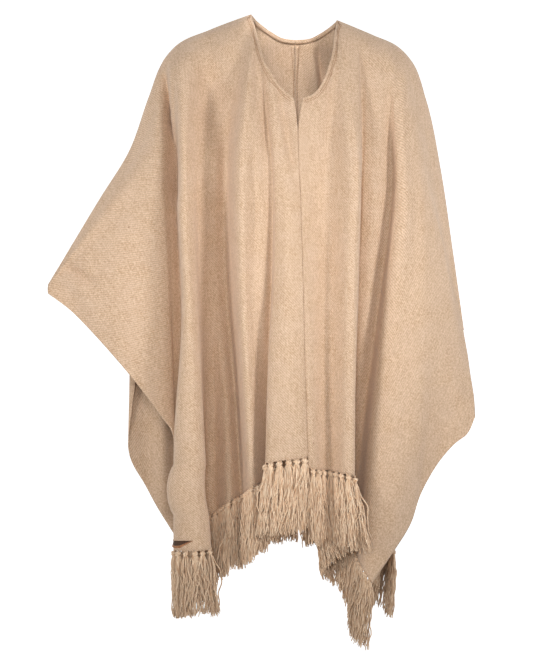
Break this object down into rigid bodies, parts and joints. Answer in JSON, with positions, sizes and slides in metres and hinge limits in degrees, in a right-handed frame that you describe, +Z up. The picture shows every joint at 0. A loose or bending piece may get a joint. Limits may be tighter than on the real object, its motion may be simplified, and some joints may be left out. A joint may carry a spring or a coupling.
{
  "type": "poncho",
  "caption": "Wool poncho with knotted fringe and a slit V neck, hollow and open at neck, hem and sides, draped as if worn over one raised arm.",
  "frame": {"origin": "midway between the two neck points, where the wearer's shoulders and neck carry the cloth", "axes": "+Z up, +Y to the wearer's back, +X to the wearer's left"},
  "size_m": [0.8054, 0.3862, 1.1951],
  "materials": {
    "wool_twill": "brushed camel wool twill, matt",
    "wool_fringe": "twisted wool yarn, matt"
  },
  "bodies": {
    "root": {"right_panel": "wool_twill", "left_panel": "wool_twill", "right_front_fringe": "wool_fringe", "left_front_fringe": "wool_fringe", "right_back_fringe": "wool_fringe", "left_back_fringe": "wool_fringe"}
  },
  "joints": []
}
